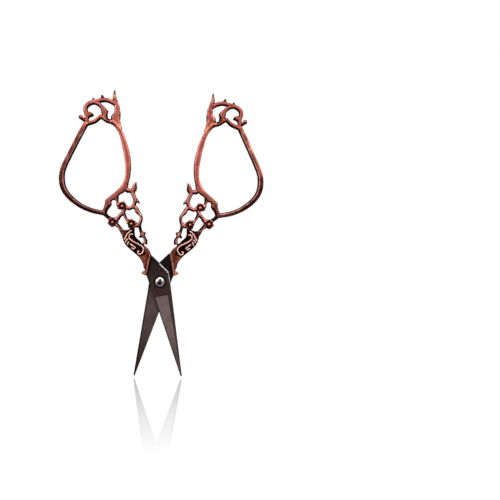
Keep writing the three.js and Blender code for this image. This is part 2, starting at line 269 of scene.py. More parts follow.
# edges of a mesh, and how many meet at each point
def meshLinks(mesh):
    edges = np.empty(len(mesh.edges) * 2, int)
    mesh.edges.foreach_get("vertices", edges)
    edges = edges.reshape(-1, 2)
    return edges, np.bincount(edges.ravel(), minlength=len(mesh.vertices)).astype(float)


def moveMesh(mesh, points):
    mesh.vertices.foreach_set("co", points.ravel())
    mesh.update()


def paintMesh(mesh, name, values):
    attribute = mesh.attributes.new(name, "FLOAT", "POINT")
    attribute.data.foreach_set("value", values)


def neighbourMean(values, links):
    edges, counts = links
    first, second = edges[:, 0], edges[:, 1]
    total = []
    for column in values.reshape(len(counts), -1).T:
        fromSecond = np.bincount(first, column[second], len(counts))
        fromFirst = np.bincount(second, column[first], len(counts))
        total.append(fromSecond + fromFirst)
    return (np.stack(total, 1) / counts[:, None]).reshape(values.shape)


def spread(values, links, rounds, kept=0.3):
    for _ in range(rounds):
        values = kept * values + (1 - kept) * neighbourMean(values, links)
    return values


# cast handles: the form

castLook = {
    "voxel": 0.19, "softness": 0.5, "smoothing": 1, "leastReach": 0.1,
    # how far a face turns to the front before it counts as flat, or no longer as a slope or a wall
    "flat": (0.5, 0.95), "slope": (0.6, 0.97), "wall": (0.2, 0.6),
    # fuller webs: place, way and reach in the drawing
    "fills": [(-13.9, 37.9, 1.3, -0.3, 1.75), (-10.9, 39.7, -0.2, -0.85, 1.2),
              (-10.6, 36.5, -0.6, 0.15, 1.2), (-8.5, 36.2, -0.11, -0.43, 2.4),
              (-6.0, 42.0, -0.2, -0.85, 2.0), (-3.3, 39.4, -0.35, 0.1, 1.5),
              (-9.4, 40.6, 0.3, -0.1, 1.3), (-4.6, 43.8, 0.4, -0.1, 1.2),
              (-5.5, 33.8, -0.1, -0.45, 1.6), (-2.6, 32, -0.4, 0.1, 1.4),
              (-14.9, 29.2, -0.34, -0.46, 2.2), (-11.8, 30.2, 0.7, -0.16, 1.1),
              (-4.3, 26.2, -0.15, -0.7, 1.3), (-6.3, 27.8, -0.11, -0.43, 2.4),
              (-6.3, 5.6, -0.7, 0.05, 1.0), (-20.5, 36.6, -0.1, -0.35, 5.0),
              (-2.6, 14.6, 0.25, 0.17, 1.8), (-2.0, 77.5, -0.75, 0, 1.1),
              (-4.0, 74.8, -0.3, 0.1, 1.2), (-7.5, 72.7, 0.05, -0.45, 1.5),
              (-0.6, 76.4, 0.17, 0, 0.9), (-0.6, 74, -0.22, 0, 1.0)],
    # each casting sits a little differently on its blade
    "settle": {1: [(-12, 58, 0.05, -0.38, 32), (-7, 26, -0.1, 0, 9), (-8, 20, 0.08, -0.22, 7)],
               -1: [(-12, 45, 0, -0.18, 28), (-7, 27, 0.24, 0, 10), (-11, 77, -0.15, 0.42, 6)]},
}

# the outer wire of the bow: where it lies, how it is worn, and its painted highlights and painted shade
wireLook = {
    "outside": (-18, -15.5), "bottom": (33.5, 36), "top": (71, 74.5), "rounding": 14, "roundingShare": 0.5,
    "bowCentre": (-15.5, 55.4), "rub": 0.59,
    "ridge": (-0.36, 0.2), "ridgeBrightness": 0.38, "ridgeHighlight": 0.75,
    "back": (0.85, 0.98), "backHighlight": 0.12, "holeSide": (-0.74, -0.58), "holeSideShade": 0.8,
    "low": (42, 66), "lowDarkening": 0.16,
    "high": (50, 64), "highSide": (-0.3, 0.1), "highBrightening": {1: 0.07, -1: 0.13},
    "endAcross": (-26, -19), "endTop": (40, 44), "endSide": (-0.5, 0), "endBrightening": {1: 0.04, -1: 0.16},
    "brown": {1: 0.08, -1: 0.03}, "edgePolishLost": 0.7,
}

# swells are size, radius and width; cups, cuts, moat and rim are radius and width
blossomLook = {
    "places": [(-8.6, 35.8), (-14.2, 29.85), (-6.4, 27.4)], "turns": [60, 40, 80], "petals": 5,
    "swell": (0.22, 1.9, 0.6), "radius": 2.05, "fade": 1.2,
    "dip": 0.42, "cup": (1.2, 0.38), "cut": (1.5, 0.5), "cutSharpness": 3, "moat": (0.82, 0.22),
    # the eye and the petal rims get painted highlights
    "patina": 0.15, "eye": (0.1, 0.34), "eyeEdge": (0.15, 0.42),
    "rim": (1.84, 0.17), "rimLight": 0.7, "rimHighlight": 0.3,
}

crownLook = {
    "height": (70, 74), "patina": 0.07, "slopePatina": 0.4,
    "curl": (-17.75, 77.35), "curlSwell": (0.25, 0.6, 0.5), "curlReach": 1.3, "curlPatina": 0.25,
    # the web between the two scrolls ends on a leaning line
    "webInside": (-5.4, -4.4), "webLean": 0.6, "webLeanFrom": -4, "webBottom": (72.8, 73.6),
    "webTop": (78, 80), "webRub": 0.3, "webShadeCut": 0.8,
    # painted shade on the stem under the crown, on the side of the web
    "stem": (-6.3, 75), "stemReach": 2.2, "stemShade": (0.03, 0.13),
    "spikesPart": -3, "outerSpike": (82.8, 83.8), "innerSpike": (83.8, 85.4), "spikePatina": 0.55,
}


def castSkin(node):
    piece = copySolid(node + "_cast", node)
    skin = piece.modifiers.new("skin", "REMESH")
    skin.mode = "VOXEL"
    skin.voxel_size = castLook["voxel"] * mm
    soften = piece.modifiers.new("soften", "SMOOTH")
    soften.factor = castLook["softness"]
    soften.iterations = castLook["smoothing"]
    bakeModifiers(piece)
    return piece


# soft moves of the casting
def pushes(moves, drawn, side):
    total = np.zeros((len(drawn), 3))
    for x, y, wayX, wayY, reach in moves:
        total += spot(drawn, (x, y), reach)[:, None] * fromDrawing(wayX, wayY, side)
    return total


def swelling(drawn, place, swell, side):
    size, radius, width = swell
    dx, dy, reach = fromPlace(drawn, place, castLook["leastReach"])
    push = size * ring(reach, radius, width) / reach
    return fromDrawing(push * dx, push * dy, side)


# rounds the wire, fills the webs, swells blossoms and curl, and tells where wire and curl are
def shapeCasting(points, links, side):
    drawn = toDrawing(points, side)
    wire = fall(drawn[:, 0], *wireLook["outside"]) * ramp(drawn[:, 1], *wireLook["bottom"])
    wire *= fall(drawn[:, 1], *wireLook["top"])
    for _ in range(wireLook["rounding"]):
        points += wireLook["roundingShare"] * wire[:, None] * (neighbourMean(points, links) - points)
    points += pushes(castLook["fills"], toDrawing(points, side), side)
    drawn = toDrawing(points, side)
    for place in blossomLook["places"]:
        points += swelling(drawn, place, blossomLook["swell"], side)
    points += swelling(drawn, crownLook["curl"], crownLook["curlSwell"], side)
    curlReach = fromPlace(drawn, crownLook["curl"], castLook["leastReach"])[2]
    return wire, ring(curlReach, 0, crownLook["curlReach"])


# each petal is a shallow cup round the blossom's eye
def blossomMarks(drawn, flat):
    look = blossomLook
    marks = {name: np.zeros(len(drawn)) for name in ("dip", "dark", "eye", "rim")}
    for place, turn in zip(look["places"], look["turns"]):
        dx, dy, reach = fromPlace(drawn, place)
        lobe = 0.5 + 0.5 * np.cos(look["petals"] * (np.arctan2(dy, dx) - math.radians(turn)))
        cup = ring(reach, *look["cup"]) * lobe
        cut = ring(reach, *look["cut"]) * (1 - lobe) ** look["cutSharpness"]
        deep = most(cup, cut, ring(reach, *look["moat"]))
        near = fall(reach, look["radius"], look["radius"] * look["fade"])
        dark = near * (look["patina"] + (1 - look["patina"]) * deep) * ramp(reach, *look["eyeEdge"])
        marks["dip"] += near * flat * look["dip"] * deep
        marks["dark"] = most(marks["dark"], dark)
        # painted highlights on the eye and the petal rims
        marks["eye"] = most(marks["eye"], fall(reach, *look["eye"]) * flat)
        marks["rim"] = most(marks["rim"], ring(reach, *look["rim"]) * lobe)
    return marks


shankLook = {
    # the panel of raised scrolls on a dark ground, which is worn at its outer corner
    "panelBottom": (12.4, 13.2), "panelTop": (25.2, 25.8), "panelInside": (-3.6, -3.0),
    # the scroll tops get a painted highlight
    "panelOutside": -12.2, "scrollRise": (1.78, 1.97), "scrollHighlight": (1.9, 1.97), "groundDip": 0.22,
    "cornerLean": 0.6, "cornerFrom": 23, "corner": (9.2, 10.6), "cornerRub": 0.5,
    # below the panel the shank is plain
    "plain": (14, 17), "plainPatina": 0.28, "plainTan": 0.6,
    # the collar has a bright band along the shoulder
    "collarTop": (12.8, 13.4), "collarBottom": (4.4, 5.4), "collarEdge": (-0.4, -0.1), "band": (0.55, 0.7),
    "collarPatina": 0.2, "collarTan": 0.25, "bandPolish": 0.6,
    # the heel gets a painted highlight
    "heel": (4.4, 5.4), "heelHighlight": 0.5,
    "beadTop": (6.2, 7.2), "beadOutside": (-5.4, -4.8), "beadRub": 0.68,
}


# scrolls, plain part, collar, heel and bead of the shank
def shankMarks(drawn, flat):
    look = shankLook
    x, y = drawn[:, 0], drawn[:, 1]
    rise = np.abs(drawn[:, 2] - layout["midPlane"])
    deep = fall(rise, *look["scrollRise"])
    panel = ramp(y, *look["panelBottom"]) * fall(y, *look["panelTop"])
    panel *= fall(x, *look["panelInside"]) * (x > look["panelOutside"])
    ground = panel * deep
    corner = ramp(look["cornerLean"] * (y - look["cornerFrom"]) - x, *look["corner"])
    plain = fall(y, *look["plain"]) * deep
    (footX, footY), (wayX, wayY) = layout["shoulder"][1], layout["shoulderWay"]
    beside = wayX * (x - footX) + wayY * (y - footY)
    collar = fall(y, *look["collarTop"]) * ramp(beside, *look["collarEdge"])
    collar *= ramp(y, *look["collarBottom"])
    band = collar * fall(beside, *look["band"]) * flat
    heel = fall(y, *look["heel"]) * flat
    return {
        "panel": panel,
        "dip": ground * flat * look["groundDip"],
        "dark": most(ground * (1 - look["cornerRub"] * corner), look["plainPatina"] * plain,
                     look["collarPatina"] * collar * (1 - band)),
        "tan": most(look["plainTan"] * plain, look["collarTan"] * collar) * (1 - band),
        # polish on the band, and painted highlights on the heel and the scroll tops
        "polish": most(look["bandPolish"] * band, look["heelHighlight"] * heel,
                       panel * ramp(rise, *look["scrollHighlight"])),
        "bead": fall(y, *look["beadTop"]) * fall(x, *look["beadOutside"]),
    }


# cast handles: wear, patina, painted light and painted shade

wearLook = {
    "rub": 0.85, "wallPatinaAndShade": 0.8, "upward": (0.1, 0.9), "upwardLight": 0.2,
    "hollowRounds": 6, "hollowRange": (-0.06, 0.2), "hollowPatina": 3.0,
    # painted shade lies on walls that face the pivot and spreads over their edges
    # fingers rub the other walls
    "shadeCentre": (0, 15), "facesPivot": (0.05, 0.4), "facesFingers": (-0.3, 0.1), "fingerRub": 0.42,
    "pivotShadeRounds": 16, "pivotShade": (0.08, 0.2), "widePivotShade": (0.07, 0.16), "wideHeight": (60, 68),
    "shadeRounds": 48, "shadeSide": (0.2, 0.6),
    # the fine tracery below the bow is duller
    "traceryHeight": (41, 46), "tracerySlopes": 0.5, "traceryPatina": 0.08, "traceryHandled": 0.7,
    # the bow's foot is maroon on the side of the tracery and has painted shade on its walls there, and its
    # inner side is rubbed
    "footInside": (-14, -12.5), "footTop": (38.5, 41), "footBottom": (31, 33.5), "footPatina": 0.22,
    "footOutside": (-16.6, -15.6), "footShade": (0.02, 0.1), "footDark": 0.75,
    "innerSide": (-9, -5), "innerBottom": (44, 48), "innerTop": (68, 72), "innerRub": 0.22,
    # a painted shadow in the crotch of the inner branch
    "crotch": (-3.6, 44.6), "crotchReach": (0.55, 1.15),
    "darkening": 0.9, "polishFrom": 0.03, "polishSteepness": 6, "polishMost": 0.6,
}


# a painted highlight on the finger's side of the wire and on its outer back, brown on the other side,
# painted shade on the side facing the finger hole; darker towards the bottom and lighter towards the top
# and near the foot
def wireWearAndShading(drawn, level, side):
    look = wireLook
    x, y = drawn[:, 0], drawn[:, 1]
    away = drawn[:, :2] - np.array(look["bowCentre"])
    away /= np.linalg.norm(away, axis=1)[:, None]
    outwards = np.einsum("ij,ij->i", away, level)
    ridge = ring(outwards, *look["ridge"])
    high = ramp(y, *look["high"]) * ramp(outwards, *look["highSide"])
    end = ramp(x, *look["endAcross"]) * fall(y, *look["endTop"]) * ramp(outwards, *look["endSide"])
    wearShade = look["rub"] + look["ridgeBrightness"] * ridge - look["lowDarkening"] * fall(y, *look["low"])
    wearShade += look["backHighlight"] * ramp(outwards, *look["back"])
    wearShade -= look["holeSideShade"] * fall(outwards, *look["holeSide"])
    wearShade += look["highBrightening"][side] * high + look["endBrightening"][side] * end
    return wearShade - look["brown"][side], ridge


def wearCasting(points, normals, drawn, links, side, wire, curl, blossoms, shank):
    look = wearLook
    x, y = drawn[:, 0], drawn[:, 1]
    facing = np.abs(normals[:, 1])
    slope = 1 - ramp(facing, *castLook["slope"])
    wall = 1 - ramp(facing, *castLook["wall"])
    level = toDrawing(normals * mm, side)[:, :2]

    # hollows gather patina, edges are rubbed and get a painted highlight, walls darken with patina and
    # painted shade, and walls that face up get painted light
    pull = neighbourMean(points, links) - points
    hollow = np.einsum("ij,ij->i", pull, normals) / (castLook["voxel"] * mm)
    hollow = spread(hollow, links, look["hollowRounds"])
    reach = points[:, [0, 2]] - np.array(look["shadeCentre"]) * mm
    pivotward = -np.einsum("ij,ij->i", normals[:, [0, 2]], reach) / np.linalg.norm(reach, axis=1)
    handled = wall * (1 - ramp(pivotward, *look["facesFingers"]))
    upward = ramp(normals[:, 2], *look["upward"])
    wearAndShade = look["rub"] - (look["wallPatinaAndShade"] - look["upwardLight"] * upward) * wall
    wearAndShade += look["fingerRub"] * handled
    wearAndShade -= look["hollowPatina"] * np.clip(hollow, *look["hollowRange"])

    # each part of the casting is worn in its own way, and the wire also gets painted highlights and
    # painted shade
    tracery = fall(y, *look["traceryHeight"]) * (1 - shank["panel"])
    tracery *= 1 - look["traceryHandled"] * handled
    wearAndShade -= tracery * (look["tracerySlopes"] * slope + look["traceryPatina"])
    foot = fall(x, *look["footInside"]) * fall(y, *look["footTop"]) * ramp(y, *look["footBottom"])
    wearAndShade -= look["footPatina"] * foot
    crown = ramp(y, *crownLook["height"])
    wearAndShade -= crown * (crownLook["patina"] + crownLook["slopePatina"] * slope)
    webLine = y + crownLook["webLean"] * (x - crownLook["webLeanFrom"])
    web = ramp(x, *crownLook["webInside"]) * ramp(webLine, *crownLook["webBottom"])
    web *= fall(y, *crownLook["webTop"])
    wearAndShade += crownLook["webRub"] * web * slope - crownLook["curlPatina"] * curl
    inner = ramp(x, *look["innerSide"]) * ramp(y, *look["innerBottom"]) * fall(y, *look["innerTop"])
    wearAndShade += look["innerRub"] * inner
    wireWearShading, ridge = wireWearAndShading(drawn, level, side)
    wearAndShade += wire * (wireWearShading - wearAndShade)

    # dark places: patina, and painted shade on walls that face the pivot, in the crotch, on the stem and
    # on the foot
    # painted shade on walls that face the pivot, and a wider band of it high on the crown
    pivotShade = spread(wall * ramp(pivotward, *look["facesPivot"]), links, look["pivotShadeRounds"])
    wide = spread(pivotShade, links, look["pivotShadeRounds"])
    wide = ramp(wide, *look["widePivotShade"]) * ramp(y, *look["wideHeight"])
    pivotShade = most(ramp(pivotShade, *look["pivotShade"]), wide) * (1 - wire) * (1 - crownLook["webShadeCut"] * web)
    spike = np.where(x < crownLook["spikesPart"], ramp(y, *crownLook["outerSpike"]),
                     ramp(y, *crownLook["innerSpike"]))
    crotch = fromPlace(drawn, look["crotch"])[2]
    inShade = wall * ramp(level[:, 0], *look["shadeSide"])
    stem = inShade * spot(drawn, crownLook["stem"], crownLook["stemReach"])
    stem = spread(stem, links, look["shadeRounds"])
    footSide = spread(inShade * foot * ramp(x, *look["footOutside"]), links, look["shadeRounds"])
    dark = most(blossoms["dark"], shank["dark"], pivotShade, crownLook["spikePatina"] * spike,
                fall(crotch, *look["crotchReach"]), ramp(stem, *crownLook["stemShade"]),
                look["footDark"] * ramp(footSide, *look["footShade"]))
    rim, bead = blossoms["rim"], shank["bead"]
    dark *= (1 - rim) * (1 - bead)

    # bright places: polish, and painted highlights on edges, ridges, eyes, rims and scrolls
    wearAndShade = np.maximum(wearAndShade, blossomLook["rimLight"] * rim)
    wearAndShade += bead * (shankLook["beadRub"] - wearAndShade)
    wearAndShade = spread(np.clip(wearAndShade, 0, 1) * (1 - look["darkening"] * dark), links, 1)
    edges = np.clip(-look["polishSteepness"] * (hollow + look["polishFrom"]), 0, look["polishMost"])
    edges *= (1 - dark) * (1 - curl) * (1 - wireLook["edgePolishLost"] * wire)
    polished = most(edges, wireLook["ridgeHighlight"] * wire * ridge, shank["polish"], blossoms["eye"],
                    blossomLook["rimHighlight"] * rim)
    return {"wearAndShade": wearAndShade, "polished": spread(polished, links, 1), "tan": shank["tan"]}


def castHandle(node, body, side, material):
    piece = castSkin(node)
    mesh = piece.data
    links = meshLinks(mesh)
    points = meshValues(mesh, "co")
    wire, curl = shapeCasting(points, links, side)
    moveMesh(mesh, points)
    normals = meshValues(mesh, "normal")
    drawn = toDrawing(points, side)
    flat = ramp(np.abs(normals[:, 1]), *castLook["flat"])
    blossoms = blossomMarks(drawn, flat)
    shank = shankMarks(drawn, flat)
    inward = -side * np.sign(layout["midPlane"] - drawn[:, 2])
    points[:, 1] += inward * (blossoms["dip"] + shank["dip"]) * mm
    wear = wearCasting(points, normals, drawn, links, side, wire, curl, blossoms, shank)
    for name, values in wear.items():
        paintMesh(mesh, name, np.clip(values, 0, 1))
    points += pushes(castLook["settle"][side], drawn, side)
    moveMesh(mesh, points)
    mesh.shade_smooth()
    mesh.materials.clear()
    mesh.materials.append(material)
    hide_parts(node)
    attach(piece, body)
    return piece


copper = copperMaterial()
for node, body, side in (("left_handle", "front_half", 1), ("right_handle", "rear_half", -1)):
    made = castHandle(node, body, side, copper)
    print("handle cast:", made.name, len(made.data.vertices))

# blades

bladeLook = {
    "length": 42.4, "tailTop": 12.3, "grindStart": -5.75, "wider": 0.06, "flatAngle": math.radians(1),
    "edgeWidth": 0.06, "edgeSegments": 2, "edgeAngle": math.radians(25), "edgeWeld": 2e-6,
    "shoulderReach": 0.2, "shoulderNear": 0.05, "cornerNear": 0.5,
    # corners that lie a little off the plain solid: the rear tail's top and the end of the bevel
    "corners": {"rear_blade": [(-1.1, 12.1, 0.45, 0.8), (4.7, 3.1, 0.3, 0.19)],
                "front_blade": [(2.2, -5.8, -0.3, -0.6)]},
    "lines": {"fromCollar": layout["shoulder"], "fromTail": ((4.8, 3.2), (-1, 12.3)),
              "fromEdge": ((-3.7, -5.8), (-0.27, -42.4)), "fromSpine": ((0.27, -42.4), (3.7, -5.8))},
    # which way a face turns tells its finish
    "inward": -0.9, "slanted": 0.3, "frontal": 0.95, "tailward": 0.2, "tipward": -0.3,
    "brush": (900, 4), "cloud": (130, 3), "brushRange": (0.6, 1.4), "colourStops": (0.1, 0.9),
    "shadeLineDarkness": 0.9, "shadeLineColour": (0.006, 0.004, 0.004),
    "metallic": 0.9, "brushStrength": 0.1, "brushDepth": 0.00003,
}

# stains run from the tail to the tip; painted shade lines lie along the lines above
bladeFinishes = {
    "browned_ricasso": {
        "colours": ((0.0405, 0.0265, 0.0243), (0.0695, 0.0455, 0.042)), "roughness": (0.4, 0.55),
        "brushed": 1, "stain": [(0.05, (0.55, 0.58, 0.55)), (0.33, (1.25, 1.0, 0.97))],
        "shadeLines": [("fromCollar", 0.55, 1), ("fromTail", 0.85, 1.3)]},
    "ground_bevel": {
        "colours": ((0.233, 0.167, 0.16), (0.34, 0.254, 0.243)), "roughness": (0.32, 0.46),
        "brushed": 6, "stain": [(0.6, (1, 1, 1)), (0.97, (0.4, 0.37, 0.37))],
        "shadeLines": [("fromEdge", 0.25, 0.6)]},
    "dark_spine": {
        "colours": ((0.022, 0.016, 0.015), (0.05, 0.037, 0.034)), "roughness": (0.4, 0.55),
        "brushed": 1, "stain": [(0.3, (1, 1, 1)), (0.8, (1.6, 1.5, 1.5))],
        "shadeLines": []},
    "inner_face": {
        "colours": ((0.12, 0.08, 0.08), (0.175, 0.121, 0.12)), "roughness": (0.38, 0.5),
        "brushed": 5, "stain": [(0.2, (0.12, 0.11, 0.11)), (0.36, (1, 1, 1)), (0.65, (0.75, 0.75, 0.75)),
                                (0.97, (0.2, 0.17, 0.17))],
        "shadeLines": [("fromSpine", 0.3, 0.75)]},
    # a polished chamfer whose near-white colour is a painted highlight, dark where it starts near the tail
    "polished_edge_and_highlight": {
        "colours": ((0.92, 0.91, 0.9), (0.98, 0.97, 0.96)), "roughness": (0.28, 0.34),
        "brushed": 3, "stain": [(0.082, (0.03, 0.024, 0.024)), (0.09, (1, 1, 1))],
        "shadeLines": []},
}


def bladeMaterial(name, finish):
    look = bladeLook
    material, tree, shader = newMaterial(name)
    place = objectPlace(tree)
    stretch = addNode(tree, "ShaderNodeMapping", {"Vector": place, "Scale": (1, 1, finish["brushed"])})
    lines = noise(tree, stretch.outputs["Vector"], *look["brush"])
    both = mathNode(tree, "ADD", lines, noise(tree, place, *look["cloud"]))
    streaks = mapRange(tree, both, *look["brushRange"], 0, 1)
    colour = colourRamp(tree, streaks, list(zip(look["colourStops"], finish["colours"])))
    stain = colourRamp(tree, painted(tree, "along"), finish["stain"])
    colour = mixColour(tree, 1.0, colour, stain, "MULTIPLY")
    # painted shadow in the corner against the collar, and a painted black shade line beside the ground
    # edges
    for line, low, high in finish["shadeLines"]:
        share = mapRange(tree, painted(tree, line), low, high, look["shadeLineDarkness"], 0)
        colour = mixColour(tree, share, colour, look["shadeLineColour"])
    tree.links.new(colour, shader.inputs["Base Color"])
    roughness = mapRange(tree, both, *look["brushRange"], *finish["roughness"])
    tree.links.new(roughness, shader.inputs["Roughness"])
    shader.inputs["Metallic"].default_value = look["metallic"]
    addBump(tree, shader, lines, look["brushStrength"], look["brushDepth"])
    return material


def faceFinish(centre, normal):
    look = bladeLook
    if normal[2] < look["inward"]:
        return "inner_face"
    slanted = normal[2] > look["slanted"]
    if centre[1] > look["grindStart"]:
        chamfer = slanted and normal[2] < look["frontal"] and normal[0] > look["tailward"]
        return "polished_edge_and_highlight" if chamfer else "browned_ricasso"
    if slanted and (normal[0] < 0 or normal[1] < look["tipward"]):
        return "ground_bevel"
    return "dark_spine"


# moves the corners of a blade that differ from the plain solid
def fitCorners(mesh, corners, node, side):
    look = bladeLook
    shoulder = [look["shoulderReach"] * way for way in layout["shoulderWay"]]
    for corner, place in zip(mesh.vertices, corners):
        # the shoulder beds into the collar, so that no light shows between them
        if any(math.dist(place[:2], end) < look["shoulderNear"] for end in layout["shoulder"]):
            corner.co += Vector(fromDrawing(*shoulder, side))
        for x, y, wayX, wayY in look["corners"][node]:
            if math.dist(place[:2], (x, y)) < look["cornerNear"]:
                corner.co += Vector(fromDrawing(wayX, wayY, side))
        if place[1] < look["grindStart"]:
            corner.co += Vector(fromDrawing(look["wider"] * place[0], 0, side))


def groundBlade(node, body, side):
    look = bladeLook
    piece = copySolid(node + "_ground", node, look["flatAngle"])
    mesh = piece.data
    for material in bladeSteel:
        mesh.materials.append(material)
    finishes = list(bladeFinishes)
    centres = toDrawing(np.array([face.center for face in mesh.polygons]), side)
    normals = toDrawing(np.array([face.normal for face in mesh.polygons]) * mm, side)
    normals -= toDrawing(np.zeros((1, 3)), side)
    for face, centre, normal in zip(mesh.polygons, centres, normals):
        face.material_index = finishes.index(faceFinish(centre, normal))
    corners = toDrawing(np.array([corner.co for corner in mesh.vertices]), side)
    fitCorners(mesh, corners, node, side)
    along = (look["tailTop"] - corners[:, 1]) / (look["tailTop"] + look["length"])
    paintMesh(mesh, "along", np.clip(along, 0, 1))
    for line, (start, end) in look["lines"].items():
        heading = np.subtract(end, start) / math.dist(start, end)
        offset = corners[:, :2] - np.array(start)
        paintMesh(mesh, line, offset[:, 1] * heading[0] - offset[:, 0] * heading[1])
    edge = piece.modifiers.new("edge", "BEVEL")
    edge.width = look["edgeWidth"] * mm
    edge.segments = look["edgeSegments"]
    edge.limit_method = "ANGLE"
    edge.angle_limit = look["edgeAngle"]
    edge.material = -1
    mesh = bakeModifiers(piece)
    cleaned = bmesh.new()
    cleaned.from_mesh(mesh)
    bmesh.ops.remove_doubles(cleaned, verts=cleaned.verts, dist=look["edgeWeld"])
    bmesh.ops.dissolve_degenerate(cleaned, dist=layout["weld"], edges=cleaned.edges)
    cleaned.to_mesh(mesh)
    cleaned.free()
    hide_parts(node)
    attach(piece, body)
    return piece


bladeSteel = [bladeMaterial(name, finish) for name, finish in bladeFinishes.items()]
for node, body, side in (("front_blade", "front_half", 1), ("rear_blade", "rear_half", -1)):
    made = groundBlade(node, body, side)
    print("blade ground:", made.name, len(made.data.polygons))

# pivot

pivotLook = {
    "around": 72, "weld": 1e-8, "sharpAngle": math.radians(35),
    "smear": (700, 4), "smearRange": (0.3, 0.7), "smearDark": 0.82, "metallic": 1.0,
    "dome": {"radius": 2.02, "base": 3.95, "rim": 0.3, "height": 1.15, "corner": 0.08, "steps": 14},
}


def polishedMaterial(name, colour, roughness):
    look = pivotLook
    material, tree, shader = newMaterial(name)
    smear = noise(tree, objectPlace(tree), *look["smear"])
    dull = tuple(channel * look["smearDark"] for channel in colour)
    colours = colourRamp(tree, smear, list(zip(look["smearRange"], (dull, colour))))
    tree.links.new(colours, shader.inputs["Base Color"])
    tree.links.new(mapRange(tree, smear, *look["smearRange"], *roughness), shader.inputs["Roughness"])
    shader.inputs["Metallic"].default_value = look["metallic"]
    return material


# turns a profile of radius and height round the pivot
def lathe(name, profile):
    turned = bmesh.new()
    around = pivotLook["around"]
    rings = []
    for radius, height in profile:
        points = []
        for i in range(1 if radius == 0 else around):
            turn = 2 * math.pi * i / around
            point = (radius * math.cos(turn) * mm, -height * mm, radius * math.sin(turn) * mm)
            points.append(turned.verts.new(point))
        rings.append(points)
    for lower, upper in zip(rings, rings[1:]):
        for i in range(around):
            corners = []
            for corner in (lower[i % len(lower)], lower[(i + 1) % len(lower)],
                           upper[(i + 1) % len(upper)], upper[i % len(upper)]):
                if corner not in corners:
                    corners.append(corner)
            if len(corners) > 2:
                turned.faces.new(corners)
    bmesh.ops.remove_doubles(turned, verts=turned.verts, dist=pivotLook["weld"])
    bmesh.ops.recalc_face_normals(turned, faces=turned.faces)
    mesh = bpy.data.meshes.new(name)
    turned.to_mesh(mesh)
    turned.free()
    return linkPiece(name, mesh)


def roundedDome(radius, base, rim, height, corner, steps):
    dome = [(radius - corner, base), (radius, base + corner), (radius, base + rim)]
    for i in range(1, steps + 1):
        turn = i / steps * math.pi / 2
        dome.append((radius * math.cos(turn) if i < steps else 0,
                     base + rim + (height - rim) * math.sin(turn)))
    return dome


bright = polishedMaterial("bright_screw", (0.42, 0.39, 0.38), (0.05, 0.11))
# the washer is blackened, and its near-black colour also paints the shade round the dome
black = polishedMaterial("blackened_washer_and_shade", (0.01, 0.008, 0.008), (0.45, 0.6))
pivotPieces = [
    ("pivot_screw", "rear_half", "bright_screw", bright,
     [(0, 0.65), (1, 0.65), (1, 3.95), *roundedDome(**pivotLook["dome"])]),
    ("pivot_washer", "front_half", "dark_washer", black,
     [(1.15, 3.6), (2.6, 3.6), (2.65, 3.65), (2.65, 3.82), (2.57, 3.9), (1.15, 3.9), (1.15, 3.6)]),
    ("pivot_bush", "rear_half", "bright_screw", bright,
     [(0, 0), (2.42, 0), (2.5, 0.08), (2.5, 0.4), (1.7, 0.4), (1.7, 3.5), (1.15, 3.5), (1.15, 0.5),
      (0, 0.5)]),
]
for node, body, slotName, material, profile in pivotPieces:
    piece = lathe(node + "_turned", profile)
    piece.data.materials.append(material)
    piece.data.shade_smooth()
    piece.data.set_sharp_from_angle(angle=pivotLook["sharpAngle"])
    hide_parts(node)
    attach(piece, body)
print("pivot turned")

# floor

floorLook = {
    "half": 0.3, "drop": 0.65, "tone": (0.8, 0.79, 0.78), "white": 1.05,
    "mirror": 0.6, "mirrorFade": 0.175, "mirrorRoughness": 0.03, "shadow": 0.3, "shadowFade": 0.12,
    # metal shows the white floor behind the pair; in front the floor is darker, with the camera's shade
    "whiteFrom": (-0.03, 0.01), "front": (0.36, 0.3, 0.285), "shade": (0.03, 0.013, 0.013),
    "shadeShift": 0.008, "shadeSpread": 0.75, "shadeEdge": (-0.016, -0.002),
}


# rays that see the white background: the camera's, and a share of those that metal reflects
def backgroundRays(tree, share):
    path = addNode(tree, "ShaderNodeLightPath").outputs
    seen = path["Is Camera Ray"]
    for kind in ("Is Glossy Ray", "Is Transmission Ray"):
        part = mathNode(tree, "MULTIPLY", path[kind], share)
        seen = mathNode(tree, "MAXIMUM", seen, part)
    return seen


